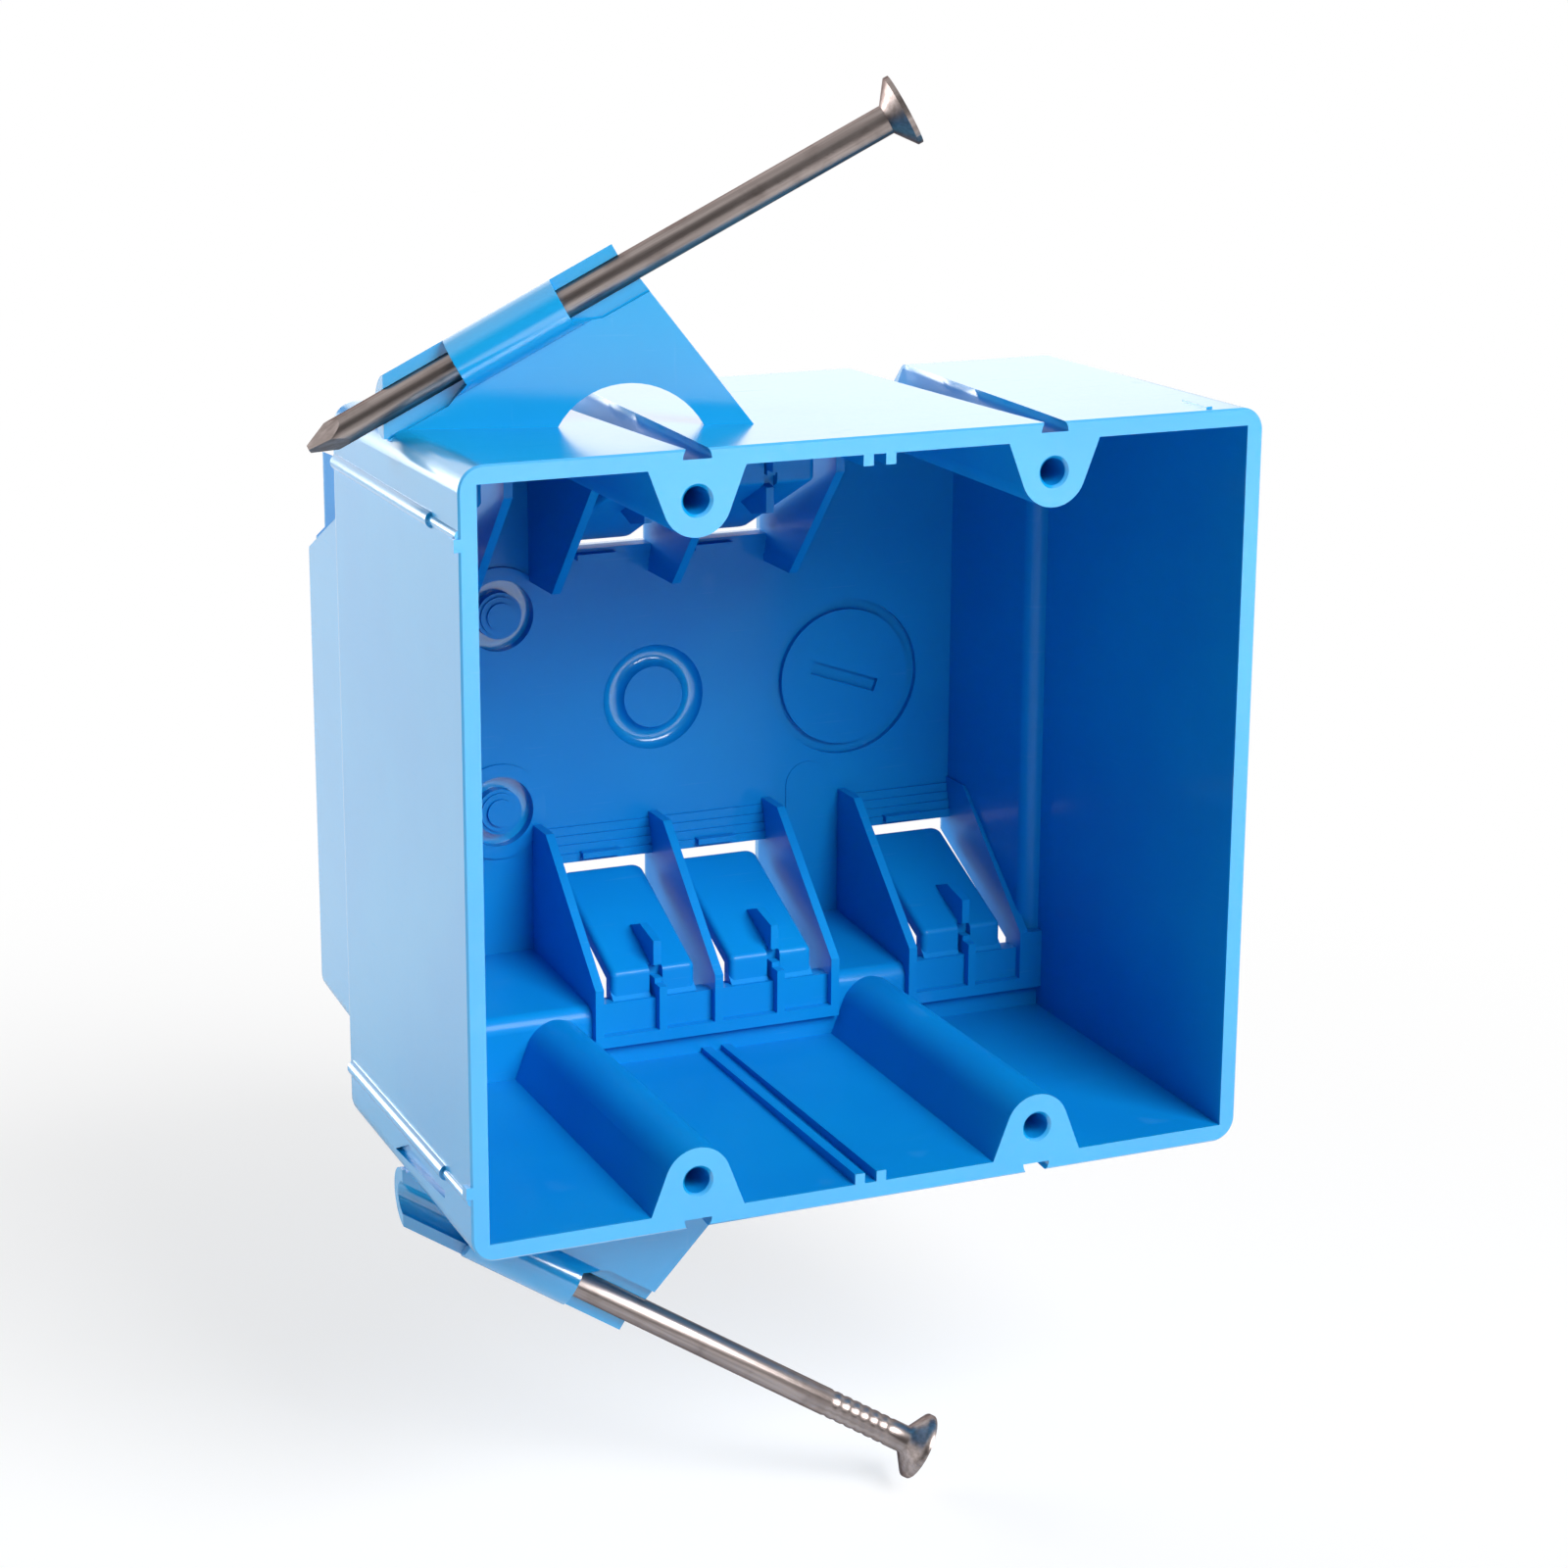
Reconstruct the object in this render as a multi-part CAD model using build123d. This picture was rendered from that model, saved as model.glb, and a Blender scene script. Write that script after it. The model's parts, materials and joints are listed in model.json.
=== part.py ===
from build123d import *
from math import cos, radians, sin, tan
import os

# A two-gang outlet box for walls that are still open, and the two nails that hold it to a stud.
# The box is one moulding: an open front, four ridges with screw holes, a smaller rear section
# with six cable clamps, and a bracket with a nail sleeve above and below.
# Millimetres. +X is to the right as the open front is seen, +Y goes back into the box, +Z is up.
# The box is drawn about the centre of its open front. The finished pieces are then moved so that
# the origin lies on the stud side, in the plane of the open front, at mid-height.

# Main body
OPENING_WIDTH = 99.2
OPENING_HEIGHT = 91.0
WALL = 2.2
MAIN_DEPTH = 51.4
MAIN_TAPER = 0.65            # how far a wall leans inward over the depth of the main body
CORNER_RADIUS = 3.0
OUTER_HALF_WIDTH = OPENING_WIDTH / 2 + WALL
OUTER_HALF_HEIGHT = OPENING_HEIGHT / 2 + WALL
STUD_FACE_X = -OUTER_HALF_WIDTH
LEDGE_Y = MAIN_DEPTH - WALL

# Rear section
TOTAL_DEPTH = 74.2
BACK_Y = TOTAL_DEPTH - WALL
REAR_HALF_WIDTH = 46.5       # inside, at the ledge
REAR_HALF_HEIGHT = 36.5      # inside, at the ledge
REAR_TAPER_X = 0.6
REAR_TAPER_Z = 1.4
LEDGE_ROUNDING = 2.0
REAR_ROUNDING = 2.0
REAR_CORNER_RADIUS = 2.5
MAIN_REAR_ROUNDING = 2.0

# Screw ridges
SCREW_SPACING_X = 46.04
SCREW_SPACING_Z = 83.34
SCREW_HOLE_RADIUS = 1.65
SCREW_MOUTH_RADIUS = 2.0
SCREW_MOUTH_DEPTH = 0.4
SCREW_HOLE_DEPTH = 22.0
RIDGE_TIP_RADIUS = 4.3
RIDGE_FOOT_HALF_WIDTH = 6.5
GROOVE_FRONT_RADIUS = 1.8
GROOVE_BACK_RADIUS = 4.2
GROOVE_CENTRE_DROP = 1.2     # how far the groove's centre line lies under the outer face, at the front
RIM_CHAMFER = 0.25

# Ribs on the floor and the ceiling
MIDDLE_RIB_OFFSET = 1.45
MIDDLE_RIB_WIDTH = 1.3
MIDDLE_RIB_HEIGHT = 1.35

# Cable clamps: side profiles are given for the lower ones, as depth and height
CLAMP_PITCH = 17.2           # between the middles of two neighbouring side plates
PAIR_MIDDLE_X = 0.0
SINGLE_X = 37.6
PLATE_THICKNESS = 1.2
PLATE_FRONT_Y = 48.0
PLATE_FRONT_TOP = -33.7
PLATE_BACK_TOP = -17.1
SILL_BOTTOM = -41.9
SILL_TOP = -40.3
HINGE_TOP = -36.1
HINGE_BACK_Y = 50.9
TONGUE_FRONT = (50.3, -32.4)
TONGUE_DROP = 2.15           # how far its underside lies straight below its upper face
TONGUE_GAP = 2.0             # between a tongue and the side plates
TONGUE_ROUNDING = 0.8
TIP_CORNER_RADIUS = 1.5
ROOT_BACK_Y = 52.4
ROOT_FLARE = 0.5
NOTCH = (-0.6, 1.3, 1.3)     # left end, right end, depth
STEP_COUNT = 4
STEP_DEPTH = 0.35
STEP_BAR = (5.5, 0.4, 0.6)   # length, how far it stands out, height
STEP_BAR_SHIFT = 0.2
STEP_BAR_LIFT = 0.8
FIN_THICKNESS = 1.1
FIN_SHIFT = 0.5
FIN_FRONT = (50.2, -28.5, -31.9)   # depth, top, bottom
FIN_PEAK = (55.1, -27.5)
FIN_END_Y = 59.2
POST_TOP = -34.3
NUB_TOP = -33.6
# The lower and the upper clamps differ in these; the upper ones' heights are given as if below.
LOWER_CLAMPS = {"plate_bend_y": 66.6, "tip": (70.2, -23.7), "slot_top": -22.8, "step_height": 1.2}
UPPER_CLAMPS = {"plate_bend_y": 63.0, "tip": (73.2, -21.7), "slot_top": -21.2, "step_height": 1.0}

# Marks on the back wall: x, z
ENTRY_MARKS = [(-22.2, 12.7), (-22.6, -14.7)]
ENTRY_PAD_RADIUS = 6.7
ENTRY_PAD_HEIGHT = 0.35
ENTRY_GROOVE_RADII = (3.2, 4.9)
ENTRY_GROOVE_DEPTH = 1.2
ENTRY_STUD_STEPS = [(2.7, 0.3), (1.9, 0.7)]   # radius, height over the pad
DIMPLE = (0.2, -0.8)
DIMPLE_RADII = (4.3, 7.4)
DIMPLE_DEPTH = 1.2
KNOCKOUT = (29.3, -0.7)
KNOCKOUT_RADII = (9.7, 11.2)
KNOCKOUT_DEPTH = 0.9
KNOCKOUT_SLOT = (10.4, 1.9)
KNOCKOUT_SLOT_TURN = -19.5
KNOCKOUT_SLOT_DEPTH = 0.8

EJECTOR_MARK = (23.6, -20.0)
EJECTOR_MARK_SIZE = (6.6, 15.0)
EJECTOR_MARK_HEIGHT = 0.15

# Stud side
STUD_FIN_Z = 39.8
STUD_FIN_RADIUS = 1.0
STUD_FIN_SINK = 0.25         # how far the fin's centre line lies inside the wall
STUD_FIN_LENGTH = 48.8
STUD_FIN_NECK = (10.0, 0.35)  # the fin's first stretch, and how much thinner it is there
RIM_NUB_Z = 38.7
RIM_NUB_SIZE = (0.6, 1.4, 1.5)
POCKET_OUTLINE = [(30.4, -44.2), (25.0, -41.7), (10.2, -42.2), (10.4, -43.2)]
POCKET_DEPTH = 1.0
TOP_TICK = (44.9, 1.4, 7.3)  # x, front end, back end
TOP_TICK_SIZE = 0.8

# Bracket: its web stands at a slant to the front; along is measured from the stud face
WEB_START_Y = 28.0
WEB_TURN = 18.2              # degrees from the plane of the front
WEB_THICKNESS = 2.0
WEB_FOOT_ALONG = 43.9
WEB_APEX = (30.6, 64.9)
WEB_APEX_RADIUS = 1.5
WEB_SINK = 1.6               # how far the web reaches into the wall it stands on
ARCH_ALONG = 29.5
ARCH_HALF_WIDTH = 8.5
ARCH_RISE = 4.9

# Nail sleeve
NAIL_SLOPE = 29.2            # degrees above the plane of the wall
AXIS_HEIGHT = 49.75          # height of the nail's axis at the stud face
SLEEVE_RADIUS = 3.3
SLEEVE_END = 33.2            # along the nail's axis, from the stud face
TUBE_START = 10.4
TUBE_END = 24.8
LIP_LENGTH = 3.2
LIP_DEPTH = 1.3

# Nail
UPPER_NAIL_LENGTH = 80.4
LOWER_NAIL_LENGTH = 64.2
NAIL_RADIUS = 1.8
NAIL_CLEARANCE = 0.05
NAIL_POINT_LENGTH = 6.2
NAIL_POINT_FLAT = 0.35
HEAD_RADIUS = 4.36
HEAD_RIM = 0.6
HEAD_CONE = 1.9
HEAD_DIMPLE_RADIUS = 2.6
HEAD_DIMPLE_DEPTH = 0.25
UPPER_NAIL_START = -9.7       # where the point is along the nail's axis, from the stud face
LOWER_NAIL_START = 11.6

FAR = 200.0                  # longer than anything on the box


def at_depth(y):
    """The plane parallel to the open front at this depth, with Z as its upward direction."""
    return Plane(origin=(0, y, 0), x_dir=(1, 0, 0), z_dir=(0, -1, 0))


def at_height(z):
    """The level plane at this height."""
    return Plane(origin=(0, 0, z), x_dir=(1, 0, 0), z_dir=(0, 0, 1))


def prism_along_x(outline, x_start, x_end):
    """A solid with a side outline of (depth, height) points, from one x to another."""
    side = Plane(origin=(x_start, 0, 0), x_dir=(0, 1, 0), z_dir=(1, 0, 0))
    return extrude(side * Polygon(*outline, align=None), amount=x_end - x_start, dir=(1, 0, 0))


def block(x_range, y_range, z_range):
    """A box between two corners."""
    size = [high - low for low, high in (x_range, y_range, z_range)]
    middle = [(high + low) / 2 for low, high in (x_range, y_range, z_range)]
    return Pos(*middle) * Box(*size)


def tapered_block(front, back, y_front, y_back):
    """A block between two upright rectangles, each given as (x low, x high, z low, z high)."""
    x_low, x_high = min(front[0], back[0]), max(front[1], back[1])
    z_low, z_high = min(front[2], back[2]), max(front[3], back[3])
    plan = Polygon(
        (front[0], y_front), (front[1], y_front), (back[1], y_back), (back[0], y_back), align=None,
    )
    from_above = extrude(at_height(z_low) * plan, amount=z_high - z_low, dir=(0, 0, 1))
    from_side = prism_along_x(
        [(y_front, front[2]), (y_front, front[3]), (y_back, back[3]), (y_back, back[2])], x_low, x_high,
    )
    return from_above & from_side


def centred(half_width, half_height):
    """A rectangle about the middle of the box, for tapered_block."""
    return (-half_width, half_width, -half_height, half_height)


def rounded_block(front, back, y_front, y_back, side_radius, back_radius):
    """A centred tapered block with rounded long edges and rounded edges at its back."""
    shape = tapered_block(centred(*front), centred(*back), y_front, y_back)
    long_edges = [edge for edge in shape.edges() if abs(edge.tangent_at(0.5).Y) > 0.9]
    shape = fillet(long_edges, side_radius)
    return fillet(shape.edges().group_by(Axis.Y)[-1], back_radius)


def outer_body():
    """The main body's block and the rear section's block, still solid."""
    half_width, half_height = OUTER_HALF_WIDTH, OUTER_HALF_HEIGHT
    back = (half_width - MAIN_TAPER, half_height - MAIN_TAPER)
    main = rounded_block((half_width, half_height), back, 0, MAIN_DEPTH, CORNER_RADIUS, MAIN_REAR_ROUNDING)
    main = chamfer(main.edges().group_by(Axis.Y)[0], RIM_CHAMFER)
    half_width, half_height = REAR_HALF_WIDTH + WALL, REAR_HALF_HEIGHT + WALL
    back = (half_width - REAR_TAPER_X, half_height - REAR_TAPER_Z)
    rear = rounded_block(
        (half_width, half_height), back, LEDGE_Y, TOTAL_DEPTH, REAR_CORNER_RADIUS, REAR_ROUNDING,
    )
    return main + rear


def inner_space():
    """The room inside: a wide part up to the ledge and a smaller part behind it."""
    half_width, half_height = OPENING_WIDTH / 2, OPENING_HEIGHT / 2
    back = centred(half_width - MAIN_TAPER, half_height - MAIN_TAPER)
    main = tapered_block(centred(half_width, half_height), back, 0, LEDGE_Y)
    rear_front = centred(REAR_HALF_WIDTH, REAR_HALF_HEIGHT)
    rear_back = centred(REAR_HALF_WIDTH - REAR_TAPER_X, REAR_HALF_HEIGHT - REAR_TAPER_Z)
    return main + tapered_block(rear_front, rear_back, LEDGE_Y, BACK_Y)


def hollow_body():
    """The open box with a rounded ledge where the smaller rear section begins."""
    body = outer_body() - inner_space()
    mouth = [
        edge for edge in body.edges()
        if abs(edge.center().Y - LEDGE_Y) < 0.01
        and abs(edge.center().X) < REAR_HALF_WIDTH + 0.1
        and abs(edge.center().Z) < REAR_HALF_HEIGHT + 0.1
        and edge.geom_type == GeomType.LINE
    ]
    return fillet(mouth, LEDGE_ROUNDING)


def lower_ridge():
    """The ridge with one screw hole: a rounded tip with flared sides, from the front to the ledge."""
    foot = OPENING_HEIGHT / 2 + WALL / 2 - SCREW_SPACING_Z / 2
    flare = RIDGE_FOOT_HALF_WIDTH
    outline = make_hull((Circle(RIDGE_TIP_RADIUS).edges() + Line((-flare, -foot), (flare, -foot)).edges()))
    return extrude(at_depth(0) * outline, amount=LEDGE_Y + WALL / 2, dir=(0, 1, 0))


def lower_ridge_cuts():
    """The screw hole with its wider mouth, and the groove that widens backward under the ridge."""
    hole = extrude(at_depth(SCREW_HOLE_DEPTH) * Circle(SCREW_HOLE_RADIUS), amount=SCREW_HOLE_DEPTH)
    funnel = Cone(SCREW_HOLE_RADIUS, SCREW_MOUTH_RADIUS, SCREW_MOUTH_DEPTH)
    mouth = Plane(origin=(0, SCREW_MOUTH_DEPTH / 2, 0), x_dir=(1, 0, 0), z_dir=(0, -1, 0)) * funnel
    return hole + mouth + lower_groove()


def lower_groove():
    """The groove under a ridge: a narrow open U at the front and a wide trough at the back."""
    drop = OUTER_HALF_HEIGHT - SCREW_SPACING_Z / 2
    front, back = Vector(0, 0, GROOVE_CENTRE_DROP - drop), Vector(0, MAIN_DEPTH, MAIN_TAPER - drop)
    run = back - front
    trough = Cone(GROOVE_FRONT_RADIUS, GROOVE_BACK_RADIUS, run.length)
    middle = front + run * 0.5
    trough = Plane(origin=middle, x_dir=(1, 0, 0), z_dir=run) * trough
    below = -drop - WALL
    opening = tapered_block(
        (-GROOVE_FRONT_RADIUS, GROOVE_FRONT_RADIUS, below, front.Z),
        (-GROOVE_BACK_RADIUS, GROOVE_BACK_RADIUS, below, back.Z), 0, MAIN_DEPTH,
    )
    return trough + opening


def tongue_height(kind, y):
    """Height of a tongue's upper face at this depth."""
    (front_y, front_z), (tip_y, tip_z) = TONGUE_FRONT, kind["tip"]
    return front_z + (tip_z - front_z) * (y - front_y) / (tip_y - front_y)


def underside(kind, y):
    """The point on a tongue's underside at this depth."""
    return (y, tongue_height(kind, y) - TONGUE_DROP)


def clamp_room(kind, x_start, x_end, slot_end):
    """What is taken out of the rear section's lower corner so that tongues fit in."""
    y_end = TOTAL_DEPTH + WALL
    outline = [
        underside(kind, ROOT_BACK_Y), underside(kind, y_end),
        (y_end, -OUTER_HALF_HEIGHT), (ROOT_BACK_Y, -OUTER_HALF_HEIGHT),
    ]
    corner = prism_along_x(outline, x_start, x_end)
    slot = block((x_start, slot_end), (BACK_Y - WALL, y_end), (-OUTER_HALF_HEIGHT, kind["slot_top"]))
    return corner + slot


def side_plate(kind, x):
    """The upright plate beside a tongue, from its sloping front edge down to the box's floor."""
    end_y, floor, half = TOTAL_DEPTH - 0.7, REAR_HALF_HEIGHT, PLATE_THICKNESS / 2
    return prism_along_x([
        (PLATE_FRONT_Y, SILL_BOTTOM), (PLATE_FRONT_Y, PLATE_FRONT_TOP),
        (kind["plate_bend_y"], PLATE_BACK_TOP), (end_y, PLATE_BACK_TOP),
        (end_y, -floor), (MAIN_DEPTH, -floor - WALL / 2), (MAIN_DEPTH, SILL_BOTTOM),
    ], x - half, x + half)


def tongue(kind):
    """One springy tongue with its hinge bar, its notched root, its fin and the post before it."""
    half = (CLAMP_PITCH - PLATE_THICKNESS) / 2
    hinge = block((-half, half), (LEDGE_Y, HINGE_BACK_Y), (SILL_BOTTOM, HINGE_TOP))
    left, right, depth = NOTCH
    front_y = TONGUE_FRONT[0]
    notch = block((left, right), (front_y - ROOT_FLARE, front_y + depth), (HINGE_TOP, FIN_FRONT[2] + WALL))
    return hinge + (tongue_leaf(kind) - notch) + tongue_fin(kind)


def tongue_leaf(kind):
    """The sloping leaf and its upright root, rounded along its upper edges and at its tip."""
    front_y, front_z = TONGUE_FRONT
    tip_y, foot = kind["tip"][0], -REAR_HALF_HEIGHT - WALL / 2
    half = (CLAMP_PITCH - PLATE_THICKNESS) / 2 - TONGUE_GAP
    leaf = prism_along_x([
        (front_y - ROOT_FLARE, foot), (front_y - ROOT_FLARE, HINGE_TOP), (front_y, HINGE_TOP + ROOT_FLARE),
        TONGUE_FRONT, kind["tip"], underside(kind, tip_y + TONGUE_ROUNDING),
        underside(kind, ROOT_BACK_Y), (ROOT_BACK_Y, foot),
    ], -half, half)
    tip = leaf.faces().sort_by(Axis.Y)[-1]
    leaf = fillet([edge for edge in tip.edges() if abs(edge.tangent_at(0.5).X) < 0.5], TIP_CORNER_RADIUS)
    upper = [face for face in leaf.faces() if face.normal_at().Z > 0.8][0]
    front = [face for face in leaf.faces().sort_by(Axis.Y) if face.normal_at().Y < -0.99][-1]
    upright = [edge for edge in front.edges() if abs(edge.tangent_at(0.5).Z) > 0.9]
    return fillet(upper.edges() + upright, TONGUE_ROUNDING)


def tongue_fin(kind):
    """The thin fin along the middle of the tongue, the nub below it and the post before the hinge."""
    left, right = FIN_SHIFT - FIN_THICKNESS / 2, FIN_SHIFT + FIN_THICKNESS / 2
    front_y, top, bottom = FIN_FRONT
    fin = prism_along_x([
        (front_y, top), FIN_PEAK, (FIN_END_Y, tongue_height(kind, FIN_END_Y) - 0.4),
        (ROOT_BACK_Y, tongue_height(kind, ROOT_BACK_Y) - 1.0), (front_y, bottom),
    ], left, right)
    nub = block((left, right), (TONGUE_FRONT[0] - ROOT_FLARE, ROOT_BACK_Y), (HINGE_TOP - 0.5, NUB_TOP))
    post = block((left, right), (PLATE_FRONT_Y, HINGE_BACK_Y), (SILL_TOP - 0.3, POST_TOP))
    return fin + nub + post


def back_steps(kind):
    """Fine steps on the back wall above the slot, which bite into a cable, and a short bar."""
    half = (CLAMP_PITCH - PLATE_THICKNESS) / 2
    low = kind["slot_top"]
    steps = Part()
    for count in range(1, STEP_COUNT + 1):
        top = low + (STEP_COUNT + 1 - count) * kind["step_height"]
        steps += block((-half, half), (BACK_Y - count * STEP_DEPTH, BACK_Y + WALL / 2), (low, top))
    length, depth, height = STEP_BAR
    front = BACK_Y - STEP_COUNT * STEP_DEPTH
    low += STEP_BAR_LIFT
    bar = block(
        (STEP_BAR_SHIFT - length / 2, STEP_BAR_SHIFT + length / 2),
        (front - depth, front + depth), (low, low + height),
    )
    return steps + bar


def clamps(kind):
    """The clamps along the lower rear corner: a pair in the middle and a single one at the right."""
    half = CLAMP_PITCH / 2
    made = Part()
    clamp = tongue(kind) + back_steps(kind)
    for x in (PAIR_MIDDLE_X - half, PAIR_MIDDLE_X + half, SINGLE_X):
        made += Pos(x, 0, 0) * clamp
    plates = (-CLAMP_PITCH, 0, CLAMP_PITCH)
    for x in [PAIR_MIDDLE_X + shift for shift in plates] + [SINGLE_X - half, SINGLE_X + half]:
        made += side_plate(kind, x)
    return made + sills()


def sills():
    """The bars along the ledge in front of the clamps."""
    half = CLAMP_PITCH / 2
    single_start = SINGLE_X - half - PLATE_THICKNESS / 2
    pair_end = CLAMP_PITCH + PLATE_THICKNESS / 2
    wall = OPENING_WIDTH / 2 - MAIN_TAPER / 2
    depth, height = (PLATE_FRONT_Y, LEDGE_Y + WALL / 2), (SILL_BOTTOM, SILL_TOP)
    pair = block((PAIR_MIDDLE_X - pair_end, PAIR_MIDDLE_X + pair_end), depth, height)
    single = block((single_start, wall), depth, height)
    return pair + single + block((SINGLE_X + half, wall), depth, (SILL_BOTTOM, PLATE_FRONT_TOP))


def clamp_rooms(kind):
    """The room for the pair and for the single clamp, between their side plates."""
    half, plate = CLAMP_PITCH / 2, PLATE_THICKNESS / 2
    pair = CLAMP_PITCH - plate
    single = SINGLE_X - half + plate
    pair_room = clamp_room(kind, PAIR_MIDDLE_X - pair, PAIR_MIDDLE_X + pair, PAIR_MIDDLE_X + pair)
    return pair_room + clamp_room(kind, single, FAR, REAR_HALF_WIDTH - REAR_TAPER_X)


def to_top(part):
    """The same at the top: turned half a turn about the box's depth, so a right end comes left."""
    return Rot(0, 180, 0) * part


def middle_ribs():
    """Two thin ribs on the floor, in the middle, from the front to the ledge."""
    floor = -OPENING_HEIGHT / 2
    ribs = Part()
    for x in (-MIDDLE_RIB_OFFSET, MIDDLE_RIB_OFFSET):
        span = (x - MIDDLE_RIB_WIDTH / 2, x + MIDDLE_RIB_WIDTH / 2)
        ribs += block(span, (0, LEDGE_Y + WALL / 2), (floor - WALL / 2, floor + MIDDLE_RIB_HEIGHT))
    return ribs


def on_back_wall(x, z, y=BACK_Y):
    """A plane on the back wall's inner face whose upward direction points to the open front."""
    return Plane(origin=(x, y, z), x_dir=(1, 0, 0), z_dir=(0, -1, 0))


def ring(inner_radius, outer_radius):
    """A flat ring."""
    return Circle(outer_radius) - Circle(inner_radius)


def entry_marks():
    """Two round pads on the back wall, each with a deep ring groove around a small stud."""
    raised, cut = Part(), Part()
    for x, z in ENTRY_MARKS:
        face = on_back_wall(x, z)
        raised += extrude(face * Circle(ENTRY_PAD_RADIUS), amount=ENTRY_PAD_HEIGHT)
        for radius, height in ENTRY_STUD_STEPS:
            raised += extrude(face * Circle(radius), amount=ENTRY_PAD_HEIGHT + height)
        floor = on_back_wall(x, z, BACK_Y + ENTRY_GROOVE_DEPTH)
        cut += extrude(floor * ring(*ENTRY_GROOVE_RADII), amount=ENTRY_GROOVE_DEPTH + ENTRY_PAD_HEIGHT)
    return raised, cut


def dimple_cut():
    """A shallow round-bottomed ring groove in the middle of the back wall."""
    inner, outer = DIMPLE_RADII
    middle = (inner + outer) / 2
    half = (outer - inner) / 2
    arc = ThreePointArc((inner, 0), (middle, -DIMPLE_DEPTH), (outer, 0))
    section = make_face([arc, Line((outer, 0), (inner, 0))])
    upright = Plane(origin=(0, 0, 0), x_dir=(1, 0, 0), z_dir=(0, -1, 0))
    groove = revolve(upright * section, Axis.Z)
    return on_back_wall(*DIMPLE).location * groove


def knockout_cut():
    """The thin ring around the knockout, and the slot for a screwdriver across its middle."""
    floor = on_back_wall(*KNOCKOUT, BACK_Y + KNOCKOUT_DEPTH)
    thin_ring = extrude(floor * ring(*KNOCKOUT_RADII), amount=KNOCKOUT_DEPTH)
    slot_floor = on_back_wall(*KNOCKOUT, BACK_Y + KNOCKOUT_SLOT_DEPTH)
    slot = extrude(slot_floor * (Rot(0, 0, KNOCKOUT_SLOT_TURN) * Rectangle(*KNOCKOUT_SLOT)), amount=KNOCKOUT_SLOT_DEPTH)
    return thin_ring + slot


def ejector_mark():
    """A faint raised mark with round ends, right of the middle of the back wall."""
    flat = on_back_wall(*EJECTOR_MARK) * SlotOverall(EJECTOR_MARK_SIZE[1], EJECTOR_MARK_SIZE[0], rotation=90)
    return extrude(flat, amount=EJECTOR_MARK_HEIGHT)


def stud_fin(z, radius, y_start, y_end):
    """A stretch of a rounded fin along the stud side, which leans inward with the wall."""
    x_start = STUD_FACE_X + STUD_FIN_SINK + y_start * MAIN_TAPER / MAIN_DEPTH
    axis = Plane(origin=(x_start, y_start, z), x_dir=(0, 0, 1), z_dir=(MAIN_TAPER, MAIN_DEPTH, 0))
    return axis * (Pos(0, 0, (y_end - y_start) / 2) * Cylinder(radius, y_end - y_start))


def stud_fins():
    """Two fins on the stud side that bite into the wood, thinner near the rim, and a nub by each."""
    neck_end, thinner = STUD_FIN_NECK
    stands_out, depth, height = RIM_NUB_SIZE
    fins = Part()
    for side in (-1, 1):
        z, nub_z = side * STUD_FIN_Z, side * RIM_NUB_Z
        fins += stud_fin(z, STUD_FIN_RADIUS - thinner, RIM_CHAMFER, neck_end)
        fins += stud_fin(z, STUD_FIN_RADIUS, neck_end, STUD_FIN_LENGTH)
        fins += block(
            (STUD_FACE_X - stands_out, STUD_FACE_X + WALL / 2), (0, depth),
            (nub_z - height / 2, nub_z + height / 2),
        )
    return fins


def stud_pocket():
    """A shallow wedge-shaped pocket in the stud side, under the lower fin."""
    return prism_along_x(POCKET_OUTLINE, STUD_FACE_X - WALL, STUD_FACE_X + POCKET_DEPTH)


def top_tick():
    """A small raised tick on the top, near the right front corner."""
    x, y_front, y_back = TOP_TICK
    half = TOP_TICK_SIZE / 2
    top = OUTER_HALF_HEIGHT
    return block((x - half, x + half), (y_front, y_back), (top - WALL / 2, top + half / 2))


def web_plane():
    """The plane of the bracket's web: x runs along it from the stud face, y is up."""
    turn = radians(WEB_TURN)
    return Plane(
        origin=(STUD_FACE_X, WEB_START_Y, 0),
        x_dir=(cos(turn), -sin(turn), 0), z_dir=(-sin(turn), -cos(turn), 0),
    )


def nail_plane():
    """A plane whose upward direction runs along the nail's axis from the stud face to the head."""
    slope, turn = radians(NAIL_SLOPE), radians(WEB_TURN)
    along = (cos(slope) * cos(turn), -cos(slope) * sin(turn), sin(slope))
    return Plane(
        origin=(STUD_FACE_X, WEB_START_Y, AXIS_HEIGHT),
        x_dir=(-sin(turn), -cos(turn), 0), z_dir=along,
    )


def bracket_web():
    """The triangular web of the top bracket, with the arch at its base."""
    base = OUTER_HALF_HEIGHT - WEB_SINK
    start = -WEB_THICKNESS * 2
    apex_along, apex_up = WEB_APEX
    rise = tan(radians(NAIL_SLOPE))
    run = (WEB_FOOT_ALONG - apex_along) / (apex_up - OUTER_HALF_HEIGHT)
    outline = Polygon(
        (start, base), (WEB_FOOT_ALONG + run * WEB_SINK, base), WEB_APEX,
        (apex_along - 2.0, AXIS_HEIGHT + rise * (apex_along - 2.0)),
        (start, AXIS_HEIGHT + rise * start), align=None,
    )
    apex = outline.vertices().sort_by_distance(WEB_APEX)[0]
    outline = fillet(apex, WEB_APEX_RADIUS)
    radius = (ARCH_HALF_WIDTH ** 2 + ARCH_RISE ** 2) / (2 * ARCH_RISE)
    arch = Pos(ARCH_ALONG, OUTER_HALF_HEIGHT + ARCH_RISE - radius) * Circle(radius)
    return extrude(web_plane() * (outline - arch), amount=WEB_THICKNESS / 2, both=True)


def nail_sleeve():
    """The sleeve along the web's upper edge: a tube in the middle, half open at both ends."""
    outer = nail_plane() * (Pos(0, 0, SLEEVE_END / 2 - 5) * Cylinder(SLEEVE_RADIUS, SLEEVE_END + 10))
    return outer


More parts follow.
